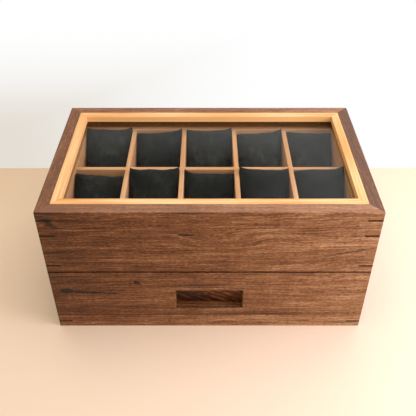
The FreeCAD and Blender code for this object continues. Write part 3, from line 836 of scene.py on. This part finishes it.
# %% [markdown]
# ## The rear edge of each pillow
# The rear edge is what the eye follows in the photograph: the seam dips and rises, and some corners
# stand up as ears while others are round. A simulation can't be told to fall like that, and ten equal
# edges would look made by a machine. So each seam's height and each ear are given one by one.

# %% The rear edge of a pillow
EAR = 1.9 * MM
EAR_WIDTH = 2.2 * MM
REAR_DIP = 0.5 * MM
REAR_START = 0.55
PUCKER = 0.35 * MM
PUCKER_LENGTH = 6.0 * MM
# What makes the puckers uneven along a seam, and shifts them from one pillow to the next
PUCKER_DRIFT, PUCKER_DRIFT_LENGTH, PUCKER_SHIFT = 0.4, 9 * MM, 7 * MM
# How far the rear seam of each pillow lies under a straight line, in mm, at seven places from left to right
SEAM_DROP = {
    "pillow_back_1": (0.0, 0.5, 0.5, 0.5, 0.5, 0.5, 0.0),
    "pillow_back_2": (6.4, 4.4, 4.2, 3.4, 2.2, 1.6, -0.6),
    "pillow_back_3": (2.6, 1.4, 2.8, 3.2, 1.6, 1.4, 1.4),
    "pillow_back_4": (6.0, 4.6, 4.4, 3.6, 2.0, 1.6, -0.6),
    "pillow_back_5": (1.9, 1.9, 1.7, 1.5, 1.9, 2.7, 1.7),
    "pillow_front_1": (0.9, 1.4, 1.7, 1.8, 2.8, 3.7, 4.6),
    "pillow_front_2": (-0.6, -0.4, -0.8, -0.6, 0.2, -1.0, 1.2),
    "pillow_front_3": (0.0, 3.1, 2.9, 2.3, 1.8, 1.8, 4.0),
    "pillow_front_4": (-1.2, -0.9, -0.8, 0.0, 0.0, 0.5, 0.6),
    "pillow_front_5": (5.6, 1.6, -0.1, 0.0, 0.2, -0.3, -1.6),
}
# How far the left and the right corner stand up, as a share of EAR. Less than 0 is a round corner.
EARS = {
    "pillow_back_1": (-0.6, 0.4),
    "pillow_back_2": (0.6, 1.0),
    "pillow_back_3": (0.5, 0.8),
    "pillow_back_4": (-0.2, 1.2),
    "pillow_back_5": (-0.7, -0.7),
    "pillow_front_1": (-0.8, -0.6),
    "pillow_front_2": (0.2, 1.5),
    "pillow_front_3": (1.0, 0.3),
    "pillow_front_4": (1.3, 0.7),
    "pillow_front_5": (-0.5, 0.8),
}


def rear_rise(x, y, name, centre_x):
    """How far the rear edge rises: its ears, less the seam's drop and a shallow dip, and its puckers.

    An ear is e exp(-gap / width), for the gap to the pillow's flank, and the puckers are an uneven sine.
    """
    near_rear = np.clip((y / (PILLOW_LENGTH / 2) - REAR_START) / (1 - REAR_START), 0, 1) ** 2
    across = x / PILLOW_HALF_WIDTH
    drop = np.interp(across, np.linspace(-1, 1, 7), np.array(SEAM_DROP[name]) * MM)
    dip = REAR_DIP * (1 - np.minimum(np.abs(across), 1) ** 4)
    ear = EAR * np.where(x < 0, *EARS[name]) * np.exp(-(PILLOW_HALF_WIDTH - np.abs(x)) / EAR_WIDTH)
    uneven = x / PUCKER_LENGTH + PUCKER_DRIFT * np.sin(x / PUCKER_DRIFT_LENGTH) + centre_x / PUCKER_SHIFT
    return near_rear * (ear - drop - dip) + near_rear**3 * PUCKER * np.sin(math.tau * uneven)


print("the rear seams of", len(SEAM_DROP), "pillows are drawn in")

# %% [markdown]
# ## Lay each pillow in its compartment
# Each pillow leans back: its foot is on the felt at the front of the compartment, and its rear edge
# rests high against the wall behind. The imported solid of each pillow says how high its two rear
# corners came to rest, and the cloth pillow takes that lean and twist. It is flat where it lies on the
# felt, and its highest ears are eased so that they stay clear of the glass when a pillow is lifted.

# %% Lay the pillows
REAR_BAND, CORNER_FROM = 3 * MM, 20 * MM
FOOT_RISE = 1.9 * MM
REAR_GAP = 0.6 * MM
ROOM_TO_LIFT = 3.4 * MM
EAR_EASE = 1.2 * MM
felt_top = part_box("compartment_felt")[1].z
highest = pane_low.z - ROOM_TO_LIFT


def rear_corners(name):
    """Left and right corner of a packed pillow's rear edge: the highest points at its back, on each side."""
    points = points_of(nodes[name].data)
    rear = points[points[:, 1] > points[:, 1].max() - REAR_BAND]
    middle = (rear[:, 0].min() + rear[:, 0].max()) / 2
    left = rear[rear[:, 0] < middle - CORNER_FROM]
    right = rear[rear[:, 0] > middle + CORNER_FROM]
    return left[left[:, 2].argmax()], right[right[:, 2].argmax()]


def lay(points, name):
    """A filled pillow in its place: turned back by its lean, twisted, then held by the felt, wall and glass.

    The lean is the angle whose sine is the rise of the rear edge over the foot, divided by the length.
    """
    left, right = rear_corners(name)
    low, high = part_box(name)
    centre_x = (low.x + high.x) / 2
    x, y, z = filled(points)
    foot = felt_top + FOOT_RISE
    lean = math.asin(((left[2] + right[2]) / 2 - foot) / PILLOW_LENGTH)
    twist = (right[2] - left[2]) / 2 * x / PILLOW_HALF_WIDTH
    up = z * math.cos(lean) + (y + PILLOW_LENGTH / 2) * math.sin(lean) + foot
    up = up + twist * (y / (PILLOW_LENGTH / 2) + 1) / 2 + rear_rise(x, y, name, centre_x)
    up = held(up - felt_top, highest - EAR_EASE - felt_top, highest - felt_top) + felt_top
    back = (y - PILLOW_LENGTH / 2) * math.cos(lean) - z * math.sin(lean) + high.y - REAR_GAP
    return np.stack([x + centre_x, np.minimum(back, high.y), np.maximum(up, low.z)], -1)


pillows = {}
tops = []
for name, case in cases.items():
    mesh = case.data.copy()
    mesh.name = name + "_cloth"
    placed = lay(blown[name], name)
    tops.append(placed[:, 2].max())
    mesh.vertices.foreach_set("co", placed.ravel())
    mesh.polygons.foreach_set("use_smooth", np.ones(len(mesh.polygons), dtype=bool))
    mesh.update()
    case.modifiers.clear()
    case.data = mesh
    smooth = case.modifiers.new("smooth", "SUBSURF")
    smooth.levels = 1
    smooth.render_levels = 1
    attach(case, name)
    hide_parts(name)
    pillows[name] = case
scene.frame_set(1)
print("glass over the highest pillow:", round((pane_low.z - max(tops)) / MM, 1), "mm")

# %% [markdown]
# ## Suede cloth
# The cases are a charcoal brushed cloth. Its nap could be made of hairs, but they are far finer than
# what shows here. The nap lies in different directions where hands have stroked it, which shows as
# soft lighter and darker clouds, and it is so matte that only a faint bloom of light shows where the
# cloth turns away. The fuzz is drawn coarser than it is, so that it can be seen.

# %% Suede cloth
SUEDE = [(0.15, "#0c0c0b"), (0.5, "#1b1b19"), (0.85, "#383835")]


def suede(name):
    """Charcoal nap: stroked clouds two centimetres long over a fine fuzz, matte with a soft sheen."""
    material, tree, shader = new_material(name)
    place = add(tree, "TexCoord").outputs["Object"]
    cloud = figure(tree, place, (18, 22, 18), 4.0, detail=2.0).outputs[0]
    stroke = figure(tree, place, (5, 9, 9), 8.0, detail=2.0).outputs[0]
    fuzz = figure(tree, place, (2.0, 2.0, 2.0), 12.0, detail=2.0, roughness=0.7).outputs[0]
    tone = weighed(tree, [(cloud, 0.75), (stroke, 0.45), (fuzz, 0.8)])
    colour = add(tree, "ValToRGB", {"Fac": tone}, stops=SUEDE).outputs["Color"]
    # Painted light and shade: the cloth's colour is scaled by each pillow's own lightness
    own = {"Factor": 1.0, MIX_A: colour, MIX_B: add(tree, "ObjectInfo").outputs["Color"]}
    own = add(tree, "Mix", own, data_type="RGBA", blend_type="MULTIPLY").outputs[MIX_RESULT]
    tree.links.new(own, shader.inputs["Base Color"])
    soft = add(tree, "Bump", {"Height": stroke, "Strength": 0.5, "Distance": 1.2 * MM}).outputs[0]
    bump = add(tree, "Bump", {"Height": fuzz, "Strength": 0.15, "Distance": 0.25 * MM, "Normal": soft})
    tree.links.new(bump.outputs[0], shader.inputs["Normal"])
    shader.inputs["Roughness"].default_value = 0.92
    shader.inputs["Specular IOR Level"].default_value = 0.2
    shader.inputs["Sheen Weight"].default_value = 0.02
    shader.inputs["Sheen Roughness"].default_value = 0.5
    return material


suede_cloth = suede("charcoal_suede_cloth")
# How light each pillow is painted, as painted light and shade for how it lies in the light,
# from 1 to 5 in the back row and then in the front row
PILLOW_PAINTED_LIGHT = (1.25, 0.75, 1.15, 1.1, 1.3, 1.05, 0.65, 0.7, 0.7, 0.8)
for case, nap in zip(pillows.values(), PILLOW_PAINTED_LIGHT):
    case.color = (nap, nap, nap, 1.0)
    case.data.materials.clear()
    case.data.materials.append(suede_cloth)
print(len(pillows), "pillows in", suede_cloth.name)

# %% [markdown]
# ## Table and wall
# The box stands on a pale table with a white wall not far behind it. The wall gives its own white to
# the eye, to mirrors and through glass, because lighting it white would need more light than the box
# can take. Low down on the left it is painted darker and warmer, a painted shadow of the box and painted
# shade away from the lamp on the right. In mirrors it is dimmer above the box, as the room is that the
# pane mirrors in the photograph. It is there for views from the front only, so that it is not in the way
# of a view from behind.

# %% Stage
FLOOR_HALF = 2.5
WALL_Y = 0.221
WALL_HEIGHT = 0.8
WALL_HALF = 1.2
WALL_WHITES = [(0.0, "#e4ddd3"), (0.5, "#f4f2ee"), (1.0, "#ffffff")]
ALL_FOUR = ((-1, -1), (1, -1), (1, 1), (-1, 1))


def plane(name, corners):
    """A flat piece through four corners."""
    mesh = bpy.data.meshes.new(name)
    mesh.from_pydata(corners, [], [(0, 1, 2, 3)])
    piece = bpy.data.objects.new(name, mesh)
    scene.collection.objects.link(piece)
    return piece


def mirrored_light(tree, across, height, path):
    """Strength of the wall's white: 1 for the eye and through glass, and dimmer in a mirror.

    A mirror shows the left of the wall at half its white, and from 27 cm up at hardly any.
    """
    fade = {"Value": across, "From Min": 0.02, "From Max": 0.22, "To Min": 0.09, "To Max": 1.0}
    fade = add(tree, "MapRange", fade, interpolation_type="SMOOTHSTEP").outputs[0]
    low = {"Value": across, "From Min": -0.08, "From Max": 0.12, "To Min": 0.5, "To Max": 0.95}
    low = add(tree, "MapRange", low).outputs[0]
    above = {"Value": height, "From Min": 0.27, "From Max": 0.325, "To Min": low, "To Max": fade}
    above = add(tree, "MapRange", above).outputs[0]
    straight = add(tree, "Math", {0: path.outputs["Glossy Depth"], 1: 0.5}, operation="LESS_THAN").outputs[0]
    return add(tree, "Math", {0: straight, 1: above}, operation="MAXIMUM").outputs[0]


def wall_paint(name):
    """White with painted shade, darker and warmer at the lower left, seen from the front only, and paper for
    scattered light.
    """
    material, tree, shader = new_material(name)
    tree.nodes.remove(shader)
    split = add(tree, "SeparateXYZ", {0: add(tree, "TexCoord").outputs["Object"]})
    across, height = split.outputs[0], split.outputs[2]
    # Painted shade: the wall's white falls to a darker, warmer tint low down on the left
    whiter = {"Value": across, "From Min": -0.35, "From Max": 0.1}
    whiter = add(tree, "MapRange", whiter, interpolation_type="SMOOTHSTEP").outputs[0]
    upward = {"Value": height, "From Min": 0.06, "From Max": 0.24}
    upward = add(tree, "MapRange", upward, interpolation_type="SMOOTHSTEP").outputs[0]
    whiter = add(tree, "Math", {0: whiter, 1: upward}, operation="MAXIMUM").outputs[0]
    tint = add(tree, "ValToRGB", {"Fac": whiter}, stops=WALL_WHITES).outputs["Color"]
    path = add(tree, "LightPath")
    glow = add(tree, "Emission", {"Color": tint, "Strength": mirrored_light(tree, across, height, path)})
    seen = path.outputs["Is Camera Ray"]
    for ray in ("Is Glossy Ray", "Is Transmission Ray"):
        seen = add(tree, "Math", {0: seen, 1: path.outputs[ray]}, operation="MAXIMUM").outputs[0]
    paper = add(tree, "BsdfDiffuse", {"Color": linear(WALL_WHITES[1][1])})
    front = add(tree, "MixShader", {0: seen, 1: paper.outputs[0], 2: glow.outputs[0]})
    behind = add(tree, "NewGeometry").outputs["Backfacing"]
    open_back = add(tree, "BsdfTransparent").outputs[0]
    one_sided = add(tree, "MixShader", {0: behind, 1: front.outputs[0], 2: open_back})
    tree.links.new(one_sided.outputs[0], tree.get_output_node("ALL").inputs["Surface"])
    return material


floor = plane("table", [(x * FLOOR_HALF, y * FLOOR_HALF, 0.0) for x, y in ALL_FOUR])
table_lacquer, _, shader = new_material("pale_table")
shader.inputs["Base Color"].default_value = linear("#e7d5bc")
shader.inputs["Roughness"].default_value = 0.6
floor.data.materials.append(table_lacquer)
wall = plane("wall", [(x * WALL_HALF, WALL_Y, (z + 1) / 2 * WALL_HEIGHT) for x, z in ALL_FOUR])
wall.data.materials.append(wall_paint("white_wall"))

# %% [markdown]
# ## Light
# A large soft lamp to the right stands for the window, and a weaker one above fills the top. The room
# itself gives an even warm light, stronger from the side of the camera than from behind the wall. What
# the camera sees of the room is white, and so is what a mirror shows of it behind the box.

# %% Light


def soft_lamp(name, place, target, size, power, colour):
    """A square lamp at a place, turned to its target."""
    data = bpy.data.lights.new(name, "AREA")
    data.size = size
    data.energy = power
    data.color = linear(colour)[:3]
    lamp = bpy.data.objects.new(name, data)
    lamp.location = place
    lamp.rotation_euler = (Vector(target) - Vector(place)).to_track_quat("-Z", "Y").to_euler()
    scene.collection.objects.link(lamp)
    return lamp


window = soft_lamp("window", (0.6, -0.25, 0.45), (0.0, 0.0, 0.08), 0.5, 4.75, "#f8ecff")
ceiling = soft_lamp("ceiling", (0.0, 0.0, 1.3), (0.0, 0.0, 0.0), 1.2, 11.6, "#fffaf8")
world = bpy.data.worlds.new("room")
scene.world = world
world.use_nodes = True
tree = world.node_tree
tree.nodes.clear()
path = add(tree, "LightPath")
towards = add(tree, "SeparateXYZ", {0: add(tree, "TexCoord").outputs["Generated"]}).outputs[1]
level = {"Value": towards, "From Min": -0.8, "From Max": 0.2, "To Min": 0.85, "To Max": 0.15}
level = add(tree, "MapRange", level).outputs[0]
room = add(tree, "Background", {"Color": linear("#ffe6c6"), "Strength": level})
white = add(tree, "Background", {"Color": linear("#ffffff"), "Strength": 1.0})
mirrored = {"Value": towards, "From Min": -0.1, "From Max": 0.3, "To Max": path.outputs["Is Glossy Ray"]}
mirrored = add(tree, "MapRange", mirrored).outputs[0]
shown = add(tree, "Math", {0: path.outputs["Is Camera Ray"], 1: mirrored}, operation="MAXIMUM").outputs[0]
mixed = add(tree, "MixShader", {0: shown, 1: room.outputs[0], 2: white.outputs[0]})
add(tree, "OutputWorld", {"Surface": mixed.outputs[0]})
print("lamps:", window.name, window.data.energy, "W,", ceiling.name, ceiling.data.energy, "W")
